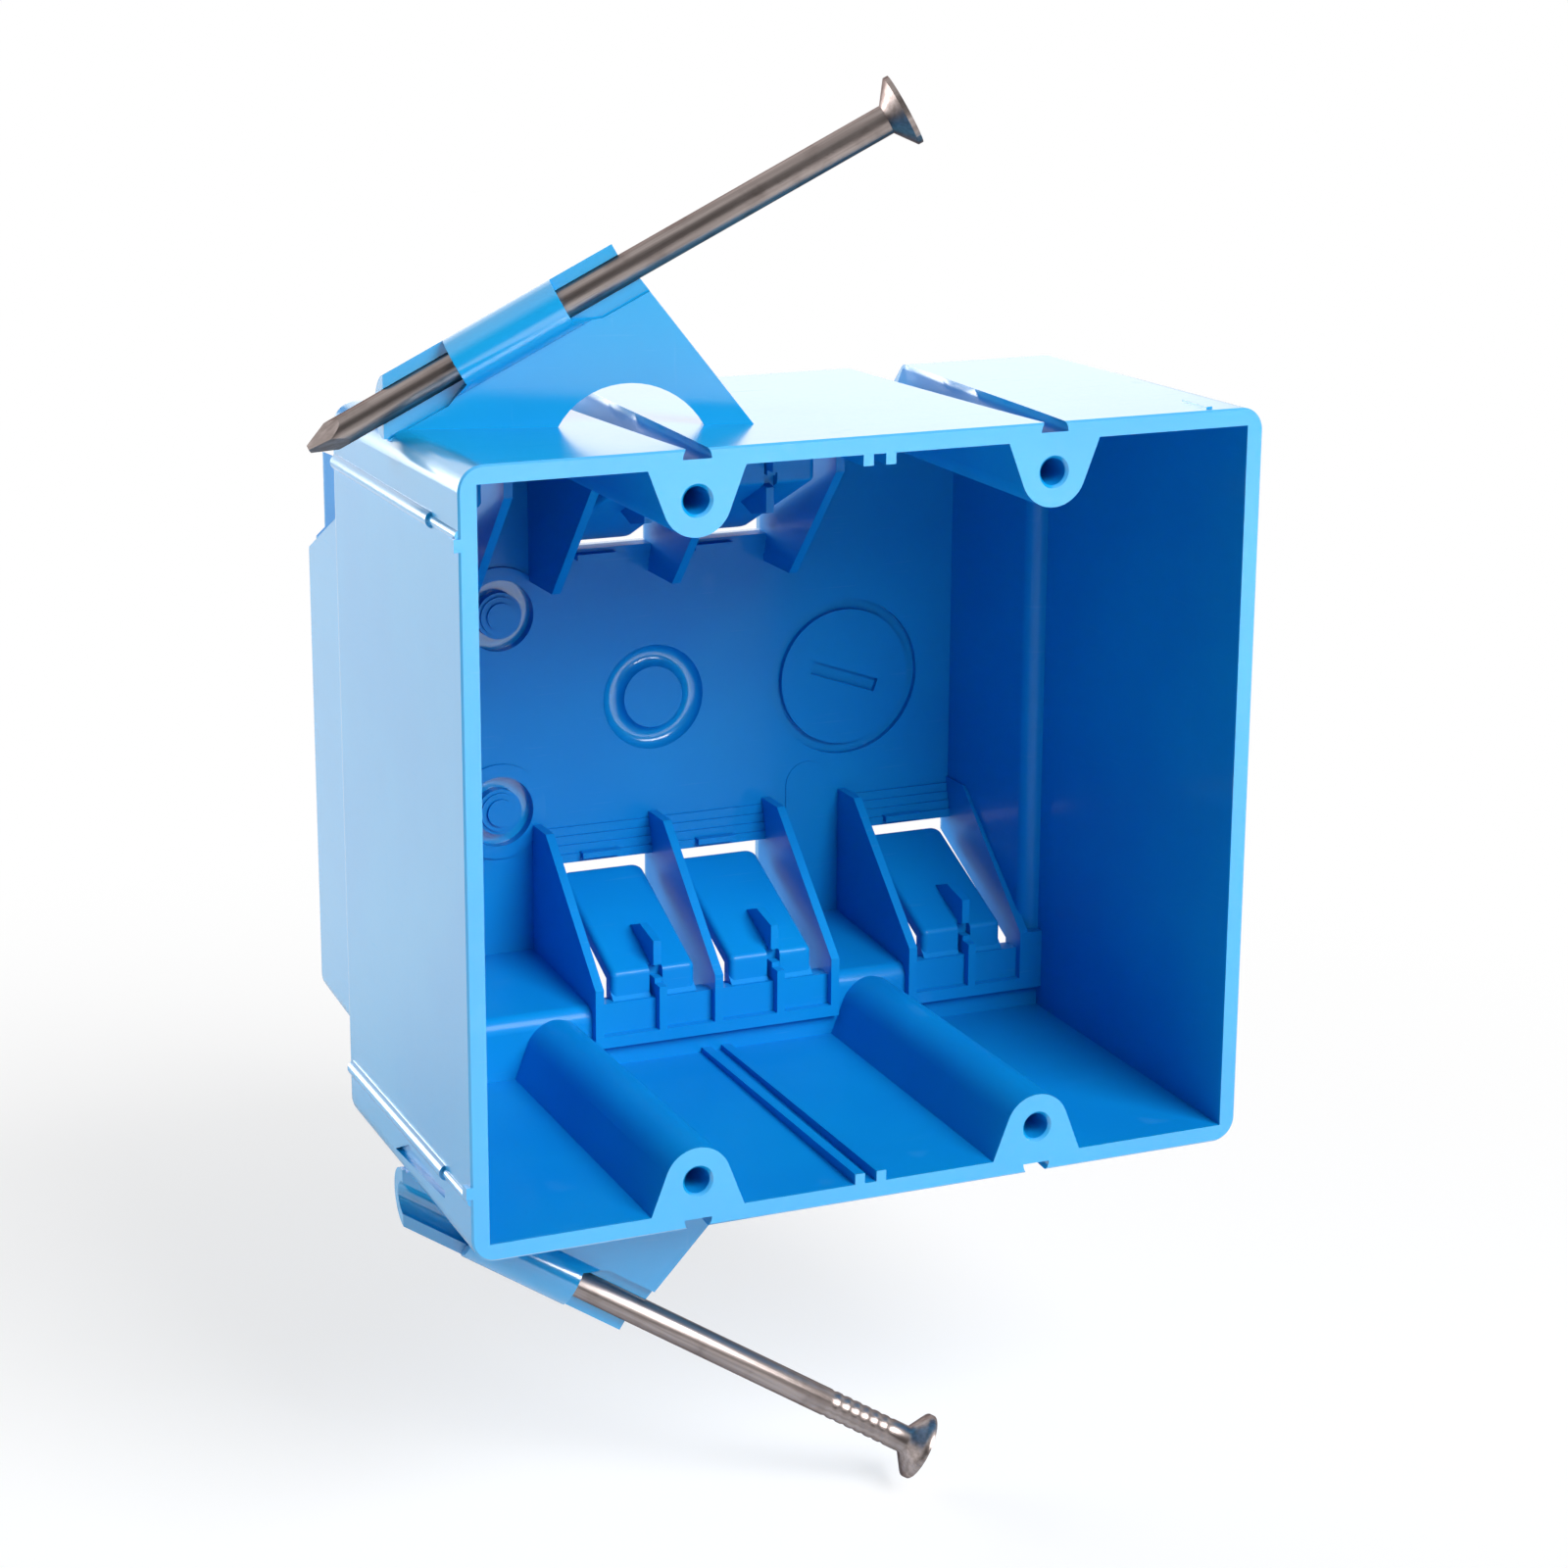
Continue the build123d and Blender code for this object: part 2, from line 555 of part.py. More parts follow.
def sleeve_cuts():
    """The bore, and the two windows that leave only the back half of the sleeve at its ends."""
    bore = Pos(0, 0, SLEEVE_END / 2) * Cylinder(NAIL_RADIUS + NAIL_CLEARANCE, SLEEVE_END + 40)
    wide = SLEEVE_RADIUS + 0.3
    lip_y = wide - LIP_DEPTH
    low = prism_along_x([
        (-wide, -FAR), (-wide, TUBE_START), (lip_y, TUBE_START),
        (wide, TUBE_START - LIP_LENGTH), (wide, -FAR),
    ], 0, wide)
    high = prism_along_x([
        (-wide, FAR), (-wide, TUBE_END), (lip_y, TUBE_END),
        (wide, TUBE_END + LIP_LENGTH), (wide, FAR),
    ], 0, wide)
    return nail_plane() * (bore + low + high)


def top_bracket():
    """The top bracket, cut flush with the stud face, which leans inward toward the back."""
    bracket = bracket_web() + nail_sleeve() - sleeve_cuts()
    lean = MAIN_TAPER / MAIN_DEPTH
    beyond = at_height(-FAR) * Polygon(
        (STUD_FACE_X, 0), (STUD_FACE_X + lean * FAR, FAR), (STUD_FACE_X - FAR, FAR), (STUD_FACE_X - FAR, 0),
        align=None,
    )
    return bracket - extrude(beyond, amount=2 * FAR, dir=(0, 0, 1))


def box_moulding():
    """The whole moulding."""
    body = hollow_body() - clamp_rooms(LOWER_CLAMPS) - to_top(clamp_rooms(UPPER_CLAMPS))
    body = body + clamps(LOWER_CLAMPS) + to_top(clamps(UPPER_CLAMPS))
    holes = [Pos(side * SCREW_SPACING_X / 2, 0, -SCREW_SPACING_Z / 2) for side in (-1, 1)]
    for hole in holes:
        ridge = hole * lower_ridge()
        body = body + ridge + to_top(ridge)
    for hole in holes:
        cuts = hole * lower_ridge_cuts()
        body = body - cuts - to_top(cuts)
    body = body + middle_ribs() + to_top(middle_ribs())
    raised, cut = entry_marks()
    body = body + raised - cut + ejector_mark() - dimple_cut() - knockout_cut()
    body = body + stud_fins() - stud_pocket() + top_tick()
    bracket = top_bracket()
    return body + bracket + mirror(bracket, about=Plane.XY)


def nail(length, start):
    """A nail of this length in the top bracket, its point at this place along its axis."""
    shank_end = length - HEAD_RIM - HEAD_CONE
    profile = Polyline(
        (0, 0), (NAIL_RADIUS, 0), (NAIL_RADIUS, shank_end), (HEAD_RADIUS, length - HEAD_RIM),
        (HEAD_RADIUS, length), (HEAD_DIMPLE_RADIUS, length),
        (0, length - HEAD_DIMPLE_DEPTH), close=True,
    )
    solid = revolve(Plane.XZ * make_face(profile), Axis.Z)
    half = NAIL_RADIUS + 0.4
    flat = NAIL_POINT_FLAT
    pyramid = loft([
        Plane.XY * Rectangle(flat * 2, flat * 2),
        Plane.XY.offset(NAIL_POINT_LENGTH) * Rectangle(half * 2, half * 2),
    ])
    keep = pyramid + Pos(0, 0, NAIL_POINT_LENGTH + length / 2) * Box(20, 20, length)
    turned = Rot(0, 0, 45) * (solid & keep)
    return nail_plane() * (Pos(0, 0, start) * turned)


def main():
    """Build every piece and write one STEP file for each."""
    pieces = {
        "box_moulding": box_moulding(),
        "upper_nail": nail(UPPER_NAIL_LENGTH, UPPER_NAIL_START),
        "lower_nail": mirror(nail(LOWER_NAIL_LENGTH, LOWER_NAIL_START), about=Plane.XY),
    }
    os.makedirs("parts", exist_ok=True)
    for name, piece in pieces.items():
        export_step(Pos(-STUD_FACE_X, 0, 0) * piece, f"parts/{name}.step")


main()
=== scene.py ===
# %% [markdown]
# # A two-gang outlet box and its two nails
# The box is one blue plastic moulding that is nailed to a wall stud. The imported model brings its
# exact shape. This scene adds what the solids lack: two details of the box, the rings on one nail,
# the finish of plastic and drawn steel, the light of a photo table and the camera. Everything is in
# metres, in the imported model's own frame, whose origin lies on the stud side at mid-height of the
# open front.

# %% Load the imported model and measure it
import json
from math import radians

import bmesh
import bpy
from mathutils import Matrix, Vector


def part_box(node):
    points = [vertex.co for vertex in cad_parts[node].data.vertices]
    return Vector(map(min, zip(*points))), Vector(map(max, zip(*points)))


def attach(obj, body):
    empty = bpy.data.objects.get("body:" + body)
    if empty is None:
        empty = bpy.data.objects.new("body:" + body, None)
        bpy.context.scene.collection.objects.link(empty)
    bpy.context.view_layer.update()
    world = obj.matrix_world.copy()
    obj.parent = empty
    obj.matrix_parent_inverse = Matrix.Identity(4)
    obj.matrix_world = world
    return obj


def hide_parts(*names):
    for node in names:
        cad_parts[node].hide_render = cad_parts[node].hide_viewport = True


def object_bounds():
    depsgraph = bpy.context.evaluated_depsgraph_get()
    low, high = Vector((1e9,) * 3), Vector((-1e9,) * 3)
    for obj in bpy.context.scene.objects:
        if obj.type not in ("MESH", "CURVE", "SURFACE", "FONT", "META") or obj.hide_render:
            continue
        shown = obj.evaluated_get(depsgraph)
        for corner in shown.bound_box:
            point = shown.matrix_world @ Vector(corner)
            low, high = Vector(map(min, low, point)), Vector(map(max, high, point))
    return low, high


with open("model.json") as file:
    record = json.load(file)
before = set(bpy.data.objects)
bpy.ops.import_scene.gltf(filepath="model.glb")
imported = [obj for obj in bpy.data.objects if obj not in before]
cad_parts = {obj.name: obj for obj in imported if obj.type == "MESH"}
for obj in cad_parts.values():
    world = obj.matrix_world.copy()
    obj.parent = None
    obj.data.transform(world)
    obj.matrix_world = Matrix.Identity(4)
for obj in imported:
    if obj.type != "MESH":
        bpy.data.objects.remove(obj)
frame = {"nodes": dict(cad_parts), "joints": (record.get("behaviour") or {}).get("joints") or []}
cad_low, cad_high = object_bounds()
box_low, box_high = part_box("box_moulding")
MM = 0.001


def rounded(values, digits=4):
    """Numbers short enough to print."""
    return [round(value, digits) for value in values]


print("solids reach from", rounded(cad_low), "to", rounded(cad_high))
print("the box reaches from", rounded(box_low), "to", rounded(box_high))

# %% [markdown]
# ## Shader arithmetic
# A finish is built from noise patterns that are scaled, mixed and clipped. In the node editor that
# takes a Math node for every plus and times. It is easier to read as a formula, so a small class
# wraps a socket: an expression such as `1 - scuffs * 0.3` then adds the Math nodes by itself.
# Colours are mixed by a Mix node instead, because a Math node would turn them grey.

# %% A socket that Python can calculate with
class Signal:
    """The output socket of a node, with arithmetic."""

    def __init__(self, finish, socket):
        self.finish, self.socket = finish, socket

    def _math(self, operation, first, second):
        return self.finish.node("ShaderNodeMath", {"operation": operation}, {0: first, 1: second})

    def __add__(self, other):
        return self._math("ADD", self, other)

    def __radd__(self, other):
        return self._math("ADD", other, self)

    def __sub__(self, other):
        return self._math("SUBTRACT", self, other)

    def __rsub__(self, other):
        return self._math("SUBTRACT", other, self)

    def __mul__(self, other):
        return self._math("MULTIPLY", self, other)

    def __rmul__(self, other):
        return self._math("MULTIPLY", other, self)

    def __abs__(self):
        return self._math("ABSOLUTE", self, 0.0)

    def smooth(self, low, high):
        """0 below low, 1 above high, and a soft step between them."""
        settings = {"interpolation_type": "SMOOTHSTEP"}
        inputs = {"Value": self, "From Min": low, "From Max": high}
        return self.finish.node("ShaderNodeMapRange", settings, inputs)


# %% A material as a small workshop
class Finish:
    """A new material, or a world's light. node() adds any node, the rest add the usual ones."""

    def __init__(self, name, world=None):
        self.owner = world or bpy.data.materials.new(name)
        self.owner.use_nodes = True
        self.tree = self.owner.node_tree
        self.shader = self.tree.nodes["Background" if world else "Principled BSDF"]

    def put(self, socket, value):
        """Set a socket to a number or a colour, or link a signal to it."""
        if isinstance(value, Signal):
            self.tree.links.new(value.socket, socket)
        else:
            socket.default_value = value

    def node(self, kind, settings, inputs, output=0):
        """Add a node: first its settings, then its inputs. Returns one output as a signal."""
        made = self.tree.nodes.new(kind)
        for name, value in settings.items():
            setattr(made, name, value)
        for name, value in inputs.items():
            self.put(made.inputs[name], value)
        return Signal(self, made.outputs[output])

    def spot(self, kind="Object"):
        """Where a point lies in the piece's own metres, or in a world the way it looks."""
        return self.node("ShaderNodeTexCoord", {}, {}, kind)

    def place(self, scale=(1, 1, 1), turn=(0, 0, 0), start=None):
        """Where a point lies on the piece, with the pattern stretched and turned."""
        inputs = {"Vector": start or self.spot(), "Scale": scale, "Rotation": turn}
        return self.node("ShaderNodeMapping", {}, inputs)

    def along(self, vector, axis):
        """One of a vector's three numbers."""
        return self.node("ShaderNodeSeparateXYZ", {}, {"Vector": vector}, axis)

    def ray(self, kind):
        """1 for light paths of this kind, such as what the camera sees straight on, and else 0."""
        return self.node("ShaderNodeLightPath", {}, {}, kind)

    def noise(self, place, scale, detail=3.0, roughness=0.55):
        """Cloudy noise from 0 to 1, with this many bumps to the metre."""
        inputs = {"Vector": place, "Scale": scale, "Detail": detail, "Roughness": roughness}
        return self.node("ShaderNodeTexNoise", {}, inputs)

    def mix(self, share, first, second):
        """A colour between two colours."""
        inputs = {"Factor": share, 6: first, 7: second}
        return self.node("ShaderNodeMix", {"data_type": "RGBA"}, inputs, 2)

    def bump(self, height, distance, strength):
        """Turn a height pattern into a normal; distance is what a height of 1 measures."""
        inputs = {"Height": height, "Distance": distance, "Strength": strength}
        return self.node("ShaderNodeBump", {}, inputs)

    def set(self, **inputs):
        """Set or link the main shader's sockets, named with _ for a space."""
        for name, value in inputs.items():
            self.put(self.shader.inputs[name.replace("_", " ")], value)
        return self.owner


def dress(piece, material):
    """Give a piece one material on all of its faces."""
    piece.data.materials.clear()
    piece.data.materials.append(material)


# %% [markdown]
# ## Two touches to the moulding
# The solids are kept as they came, so a change of shape is made on a copy that stands for them.
# Beside each single clamp the outer wall is cut off at a slope, and the steps behind each tongue
# carry a raised bar. Both come twice: the top of the box is its bottom turned half a turn about the
# depth axis.

# %% A closed copy of a node
MERGE_WITHIN = 0.0005 * MM      # corners as near as this are one corner


def shape_from(work, name):
    """Turn a bmesh into an object at the origin."""
    mesh = bpy.data.meshes.new(name)
    work.to_mesh(mesh)
    work.free()
    shape = bpy.data.objects.new(name, mesh)
    bpy.context.scene.collection.objects.link(shape)
    return shape


def closed_copy(name):
    """A node's shape as a closed mesh: its loose triangles are merged where they meet."""
    work = bmesh.new()
    work.from_mesh(frame["nodes"][name].data)
    bmesh.ops.remove_doubles(work, verts=work.verts, dist=MERGE_WITHIN)
    bmesh.ops.recalc_face_normals(work, faces=work.faces)
    return shape_from(work, name + "_finished")


# %% Prisms to cut with and to add
def prism_along_x(outline, start, end, turned=False):
    """A prism from start to end whose outline is a list of (y, z) in millimetres.

    turned gives its twin at the opposite corner, half a turn about the depth axis away.
    """
    side = -1 if turned else 1
    work = bmesh.new()
    rings = []
    for x in (start * MM, end * MM):
        x = box_high.x - x if turned else x
        rings.append([work.verts.new((x, y * MM, side * z * MM)) for y, z in outline])
    for ring in rings:
        work.faces.new(ring)
    first, second = rings
    for index in range(len(outline)):
        work.faces.new([first[index - 1], first[index], second[index], second[index - 1]])
    bmesh.ops.recalc_face_normals(work, faces=work.faces)
    return shape_from(work, "tool")


def combine(shape, operation, tools):
    """Apply one boolean after the other, and take the tools away."""
    for tool in tools:
        step = shape.modifiers.new(operation.lower(), "BOOLEAN")
        step.operation, step.object, step.solver = operation, tool, "EXACT"
    result = shape.evaluated_get(bpy.context.evaluated_depsgraph_get())
    mesh = bpy.data.meshes.new_from_object(result)
    shape.modifiers.clear()
    shape.data = mesh
    for tool in tools:
        bpy.data.objects.remove(tool)


# %% [markdown]
# ### Shading of a changed copy
# A moulding has soft edges and flat walls, and the solid says so with a normal for each corner of
# each face. A boolean loses these normals. Shading by angle could guess them anew, but it blurs the
# fine steps behind the tongues. So each corner of the copy looks up the normal that the same corner
# has in the solid, on a face that looks the same way. Only new corners take that of their own face.

# %% Normals from the node
MICROMETRES_IN_MM = 1000
SAME_WAY = 0.99     # two faces whose directions have a larger cosine look the same way


def corner_spot(mesh, vertex):
    """A vertex's place in whole micrometres, to find the same corner in another mesh."""
    return tuple(round(value / MM * MICROMETRES_IN_MM) for value in mesh.vertices[vertex].co)


def keep_shading(shape, name):
    """Give each corner the normal that it has in the node, and new corners that of their face."""
    source, mesh = frame["nodes"][name].data, shape.data
    known = {}
    for face in source.polygons:
        for corner, vertex in zip(face.loop_indices, face.vertices):
            pair = (face.normal.copy(), source.corner_normals[corner].vector.copy())
            known.setdefault(corner_spot(source, vertex), []).append(pair)
    normals = []
    for face in mesh.polygons:
        flat = face.normal.copy()
        for vertex in face.vertices:
            here = known.get(corner_spot(mesh, vertex), [])
            alike = [pair for pair in here if pair[0].dot(flat) > SAME_WAY]
            best = max(alike, key=lambda pair: pair[0].dot(flat), default=(flat, flat))
            normals.append(best[1])
    mesh.shade_smooth()
    mesh.normals_split_custom_set(normals)
    return len(known)


# %% Sloped corners and step bars, in millimetres
OPEN_SIDE = [(52.4, -35.6), (74.2, -25.0), (76.4, -25.0), (76.4, -47.7), (52.4, -47.7)]
OPEN_SIDE_FROM, OPEN_SIDE_TO = 97.4, 105.6      # from the inner face of the wall to past the outer
STEP_BAR_DEPTH = (69.6, 71.0)
LOWER_BAR, UPPER_BAR = (-22.2, -21.4), (-20.6, -19.8)     # heights, the upper ones as if below
BAR_LENGTH = 5.6
BARS_X = (43.4, 60.6, 89.6)     # the middles of the lower bars

box = closed_copy("box_moulding")
corners, bars = [], []
for turned, (bottom, top) in ((False, LOWER_BAR), (True, UPPER_BAR)):
    corners.append(prism_along_x(OPEN_SIDE, OPEN_SIDE_FROM, OPEN_SIDE_TO, turned))
    front, back = STEP_BAR_DEPTH
    outline = [(front, bottom), (back, bottom), (back, top), (front, top)]
    for x in BARS_X:
        bars.append(prism_along_x(outline, x - BAR_LENGTH / 2, x + BAR_LENGTH / 2, turned))
combine(box, "DIFFERENCE", corners)
combine(box, "UNION", bars)
print("places that lend their shading:", keep_shading(box, "box_moulding"))
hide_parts("box_moulding")
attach(box, "box")
print("the finished box has", len(box.data.polygons), "faces")

# %% [markdown]
# ## The blue plastic
# The box is moulded in a bright blue thermoplastic. Its outside is glossy and takes on the white of
# the studio, while the inside, shaped by the mould's core, is duller and has almost no coat. Its
# colour is also painted a deeper blue there, as painted shade for the inside of the box. So a mask
# made from the box's own measures tells the inside from the outside. On top of that come soft flow
# clouds in the colour, a faint ripple in the gloss, and thin scuffs from other boxes in the carton.

# %% Inside and outside
WALL = 2.2 * MM
MAIN_BACK = 51.4 * MM                   # the main body ends and the smaller rear section begins
LEDGE = (MAIN_BACK - WALL * 0.7, MAIN_BACK - WALL * 0.3)    # the mask steps in within the ledge
HALF_WIDTH = box_high.x / 2
MIDDLE_OF_SIDE = HALF_WIDTH - WALL / 2  # half-way through the side walls, seen from the middle
MIDDLE_OF_FLOOR = 46.6 * MM             # the same for the floor and the top
REAR_INSET_X, REAR_INSET_Z = 3.1 * MM, 9.0 * MM     # how much smaller the rear section is
CORE_FRONT = (0.1 * MM, 0.5 * MM)       # the core's faces begin just behind the rim
CORE_BACK = (72.8 * MM, 73.4 * MM)      # and end half-way through the back wall
SOFT_EDGE = 0.25 * MM


def inside_mask(finish):
    """1 on the faces that the mould's core shaped, and 0 on the outside and on the rim."""
    spot = finish.spot()
    x, y, z = (finish.along(spot, axis) for axis in "XYZ")
    behind = y.smooth(*LEDGE)
    side = abs(x - HALF_WIDTH) + behind * REAR_INSET_X
    height = abs(z) + behind * REAR_INSET_Z
    past_side = side.smooth(MIDDLE_OF_SIDE - SOFT_EDGE, MIDDLE_OF_SIDE + SOFT_EDGE)
    past_floor = height.smooth(MIDDLE_OF_FLOOR - SOFT_EDGE, MIDDLE_OF_FLOOR + SOFT_EDGE)
    in_depth = y.smooth(*CORE_FRONT) * (1 - y.smooth(*CORE_BACK))
    return (1 - past_side) * (1 - past_floor) * in_depth


# %% Plastic finish
# the deeper blue is painted shade for the inside of the box, and the darker side of the flow clouds
SHADE_AND_CLOUD_BLUE = (0.001, 0.215, 0.610, 1)
CLEAR_BLUE = (0.003, 0.345, 0.710, 1)
RUBBED_BLUE = (0.20, 0.50, 0.80, 1)


def thin_scuffs(finish):
    """Thin lines in two directions, by stretching a noise and keeping only its peaks."""
    lying = finish.noise(finish.place(scale=(1, 1, 26)), 95, 2.0)
    leaning = finish.noise(finish.place(scale=(1, 30, 1), turn=(0.4, 0.1, 0.2)), 80, 2.0)
    return lying.smooth(0.66, 0.74) * 0.6 + leaning.smooth(0.67, 0.75) * 0.6


def box_plastic():
    """Blue moulded plastic: polished outside, duller inside with painted shade, faint flow marks,
    scuffs.
    """
    finish = Finish("blue_box_plastic")
    spot = finish.place()
    inside = inside_mask(finish)
    clouds = finish.noise(spot, 38, 2.0)
    ripple = finish.noise(spot, 120, 2.0)
    grain = finish.noise(spot, 1400, 3.0)
    scuffs = thin_scuffs(finish)
    # painted shade inside the box (the inside mask), plus the flow clouds' own changes of tone
    depth = inside * 0.65 + clouds.smooth(0.3, 0.7) * 0.2
    colour = finish.mix(depth, CLEAR_BLUE, SHADE_AND_CLOUD_BLUE)
    height = ripple * 0.5 + grain * 0.05 + scuffs * 0.03
    return finish.set(
        Base_Color=finish.mix(scuffs * 0.08, colour, RUBBED_BLUE),
        Roughness=0.26 + inside * 0.14 + clouds * 0.06 + scuffs * 0.12 + grain * 0.04,
        IOR=1.5, Specular_IOR_Level=0.12,
        Coat_Weight=1 - inside * 0.93, Coat_Roughness=0.15, Coat_IOR=1.95,
        Normal=finish.bump(height, 0.05 * MM, 0.4),
    )


dress(box, box_plastic())
print("the box is dressed in", box.data.materials[0].name)

# %% [markdown]
# ## Rings on the lower nail
# The jaws that hold the wire while a nail's head is struck leave shallow rings in the shank. They
# show on the lower nail. A bump pattern could draw them, but the shank's outline would stay
# straight, and the mesh would not have them. So a copy of the nail is cut across at both edges and
# in the middle of each ring, and the middle is drawn in towards the axis.

# %% Where the nails point
def nail_axis(name):
    """The direction from a nail's point to its head."""
    joint = next(joint for joint in frame["joints"] if joint["child"] == name)
    return -Vector(joint["axis"]).normalized()


def head_place(name):
    """How far along its axis a nail's head ends, seen from the origin."""
    axis = nail_axis(name)
    return max(vertex.co.dot(axis) for vertex in frame["nodes"][name].data.vertices)


for name in ("upper_nail", "lower_nail"):
    print(name, "points along", rounded(nail_axis(name), 3), "to", round(head_place(name), 4))

# %% Gripping rings
RING_COUNT, RING_PITCH = 7, 1.4 * MM
FIRST_RING = 5.2 * MM                 # from the head's end to the middle of the first groove
RING_HALF, RING_DEPTH = 0.45 * MM, 0.13 * MM
CUT_WITHIN = 0.0001 * MM              # a corner as near to a cut as this lies on it
SHARP_FROM = radians(35)


def cut_across(work, axis, distance):
    """Cut the faces where a plane across the axis meets them, and return the new vertices."""
    parts = work.verts[:] + work.edges[:] + work.faces[:]
    cut = bmesh.ops.bisect_plane(
        work, geom=parts, dist=CUT_WITHIN, plane_co=axis * distance, plane_no=axis
    )
    return [part for part in cut["geom_cut"] if isinstance(part, bmesh.types.BMVert)]


def press_rings(name):
    """A copy of a nail with shallow grooves pressed in around the shank, under the head."""
    nail, axis = closed_copy(name), nail_axis(name)
    work = bmesh.new()
    work.from_mesh(nail.data)
    for number in range(RING_COUNT):
        middle = head_place(name) - FIRST_RING - number * RING_PITCH
        for edge in (middle - RING_HALF, middle + RING_HALF):
            cut_across(work, axis, edge)
        ring = cut_across(work, axis, middle)
        centre = sum((vertex.co for vertex in ring), Vector()) / len(ring)
        for vertex in ring:
            vertex.co += (centre - vertex.co).normalized() * RING_DEPTH
    work.to_mesh(nail.data)
    work.free()
    nail.data.shade_smooth()
    nail.data.set_sharp_from_angle(angle=SHARP_FROM)
    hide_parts(name)
    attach(nail, name)
    return nail


ringed_nail = press_rings("lower_nail")
print("the lower nail has", RING_COUNT, "rings and", len(ringed_nail.data.polygons), "faces")

# %% [markdown]
# ## Drawn steel
# A nail is cut from wire that was pulled through a die, so its streaks run along the shank. The
# pattern has to lie along the nail, which leans out of the box. The Mapping node turns the object's
# own coordinates until one of its axes is the nail's, and then stretches the noise along it. The
# steel is bare and a little brown, so its reflections are tinted as well.

# %% Steel finish
BRIGHT_STEEL = (0.36, 0.31, 0.295, 1)
DULL_STEEL = (0.20, 0.165, 0.155, 1)
BROWN_STEEL = (0.09, 0.065, 0.055, 1)
STREAK_STRETCH = (1, 1, 0.03)


def nail_steel(name):
    """Bare drawn steel: warm grey with brown patches, streaked along the nail."""
    finish = Finish(name + "_steel")
    turn = nail_axis(name).rotation_difference(Vector((0, 0, 1))).to_euler()
    upright = finish.place(turn=turn)
    streaks = finish.noise(finish.place(scale=STREAK_STRETCH, start=upright), 1500, 4.0, 0.6)
    patches = finish.noise(upright, 260, 3.0)
    colour = finish.mix(streaks.smooth(0.35, 0.65) * 0.7, BRIGHT_STEEL, DULL_STEEL)
    return finish.set(
        Base_Color=finish.mix(patches.smooth(0.5, 0.8) * 0.45, colour, BROWN_STEEL),
        Metallic=1.0, Specular_Tint=(0.30, 0.25, 0.25, 1),
        Roughness=0.24 + streaks * 0.10 + patches * 0.06,
        Normal=finish.bump(patches, 0.02 * MM, 0.5),
    )


dress(frame["nodes"]["upper_nail"], nail_steel("upper_nail"))
dress(ringed_nail, nail_steel("lower_nail"))
print("the lower nail is dressed in", ringed_nail.data.materials[0].name)

# %% [markdown]
# ## Floor and light
# The photo table is a plain white sweep with soft light. The background is white because the camera
# sees the floor and the world as plain white, not because more light falls on the object. A panel
# at the front right, above the box, shines into it. A large one behind lifts the top, and one low
# at the left rear gives the left wall its sheen. Polished faces see the room behind the camera as
# dark, which keeps the inside a deep blue and draws the dark line along each nail.

# %% Paper
PLAIN_WHITE = 0.65                    # how much of the shadow the bright backdrop washes out
LIT_FROM, WHITE_FROM = 0.15, 0.34     # the paper's own light ends, and plain white begins
BEHIND_FROM, BEHIND_TO = -0.25, 0.10  # polished faces see white paper only behind the object


def floor_paper():
    """White paper: lit and shaded near the object, plain white for the camera further off."""
    finish = Finish("floor_paper")
    finish.set(Base_Color=(0.9, 0.9, 0.9, 1), Roughness=0.8)
    spot = finish.spot()
    distance = finish.node("ShaderNodeVectorMath", {"operation": "LENGTH"}, {0: spot}, "Value")
    far = distance.smooth(LIT_FROM, WHITE_FROM)
    behind = finish.along(spot, "Y").smooth(BEHIND_FROM, BEHIND_TO)
    straight = finish.ray("Is Camera Ray") * (PLAIN_WHITE + far * (1 - PLAIN_WHITE))
    seen = straight + finish.ray("Is Glossy Ray") * behind * far
    white = finish.node("ShaderNodeEmission", {}, {"Color": (1, 1, 1, 1), "Strength": 1.0})
    plain = Signal(finish, finish.shader.outputs[0])
    mixed = finish.node("ShaderNodeMixShader", {}, {0: seen, 1: plain, 2: white})
    finish.put(finish.tree.nodes["Material Output"].inputs["Surface"], mixed)
    return finish.owner


# %% Floor
FLOOR_HALF = 3.0
FLOOR_GAP = 2 * MM        # under the lowest nail head


def white_floor():
    """A plain pale floor, which keeps the object's shadow."""
    grid = bmesh.new()
    bmesh.ops.create_grid(grid, x_segments=1, y_segments=1, size=FLOOR_HALF)
    bmesh.ops.translate(grid, verts=grid.verts, vec=(0, 0, cad_low.z - FLOOR_GAP))
    floor = shape_from(grid, "floor")
    dress(floor, floor_paper())
    return floor


floor = white_floor()
print("the floor lies at", round(floor.data.vertices[0].co.z, 4))

# %% World
FILL_LIGHT = 0.13            # what lights the object from all around
DARK_FRONT = 0.06            # what polished faces see of the dark room behind the camera
DARK_TO, WHITE_ROOM_FROM = -0.75, -0.15     # in a direction's Y, which is -1 towards the front


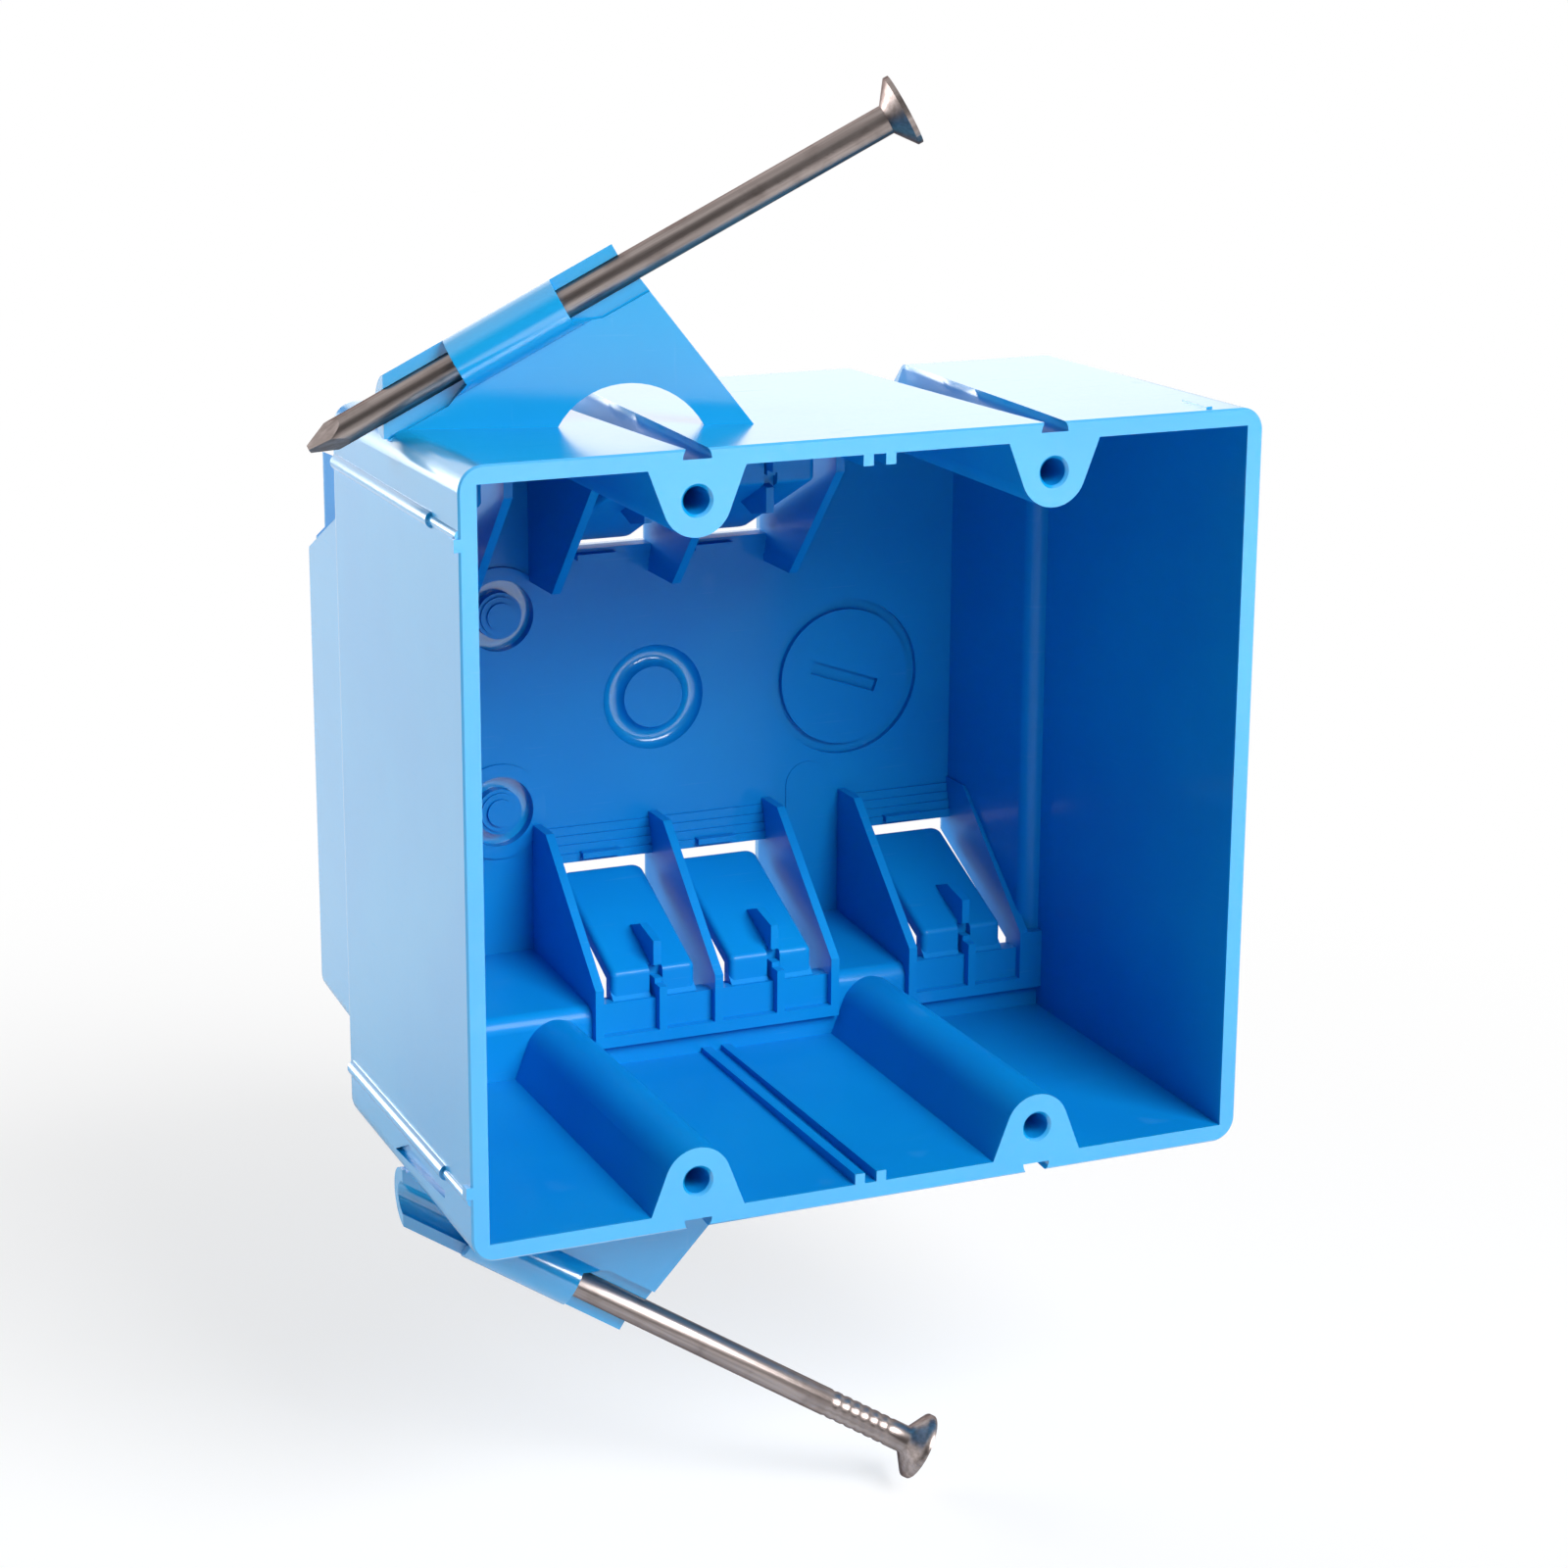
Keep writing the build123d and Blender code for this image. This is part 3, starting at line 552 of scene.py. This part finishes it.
def white_world():
    """Plain white for the camera and for reflections, apart from the dark room in front."""
    world = bpy.data.worlds.new("studio")
    bpy.context.scene.world = world
    studio = Finish("studio_light", world)
    ahead = studio.along(studio.spot("Generated"), "Y")
    room = DARK_FRONT + ahead.smooth(DARK_TO, WHITE_ROOM_FROM) * (1 - DARK_FRONT)
    light = FILL_LIGHT + studio.ray("Is Glossy Ray") * (room - FILL_LIGHT)
    strength = light + studio.ray("Is Camera Ray") * (1 - light)
    return studio.set(Color=(1, 1, 1, 1), Strength=strength)


print("the world is called", white_world().name)

# %% Lamps
LIT_MIDDLE = Vector((0.05, 0.03, 0.0))     # the middle of the box, where the panels point


def soft_panel(name, place, size, power):
    """A square light panel that faces the box and isn't seen by the camera."""
    lamp = bpy.data.lights.new(name, "AREA")
    lamp.shape, lamp.size, lamp.energy = "SQUARE", size, power
    panel = bpy.data.objects.new(name, lamp)
    panel.location = place
    panel.rotation_euler = (LIT_MIDDLE - Vector(place)).to_track_quat("-Z", "Y").to_euler()
    panel.visible_camera = False
    bpy.context.scene.collection.objects.link(panel)
    return panel


for name, place, size, power in (
    ("key_panel", (0.34, -0.80, 0.66), 0.6, 16.0),
    ("back_panel", (0.20, 1.20, 0.55), 1.3, 2.6),
    ("left_panel", (-0.60, 0.75, 0.10), 0.7, 10.5),
):
    soft_panel(name, place, size, power)
    print(name, "gives", power, "W")

# %% [markdown]
# ## Camera
# The lens is long, so the box keeps its shape, and the camera looks down from the left of the open
# front. Its place and turn were found by setting corners of the solids against the photograph.

# %% Camera
def photo_camera():
    """The camera of the photograph."""
    camera = bpy.data.cameras.new("photo_camera")
    camera.lens = 80.41
    camera.shift_x, camera.shift_y = 0.025, -0.025
    viewer = bpy.data.objects.new("photo_camera", camera)
    viewer.location = (-0.1220, -0.3633, 0.1196)
    viewer.rotation_euler = [radians(angle) for angle in (74.81, -0.148, -23.296)]
    bpy.context.scene.collection.objects.link(viewer)
    return viewer


bpy.context.scene.camera = photo_camera()
bpy.context.scene.view_settings.view_transform = "Standard"
print("the camera stands at", rounded(bpy.context.scene.camera.location))
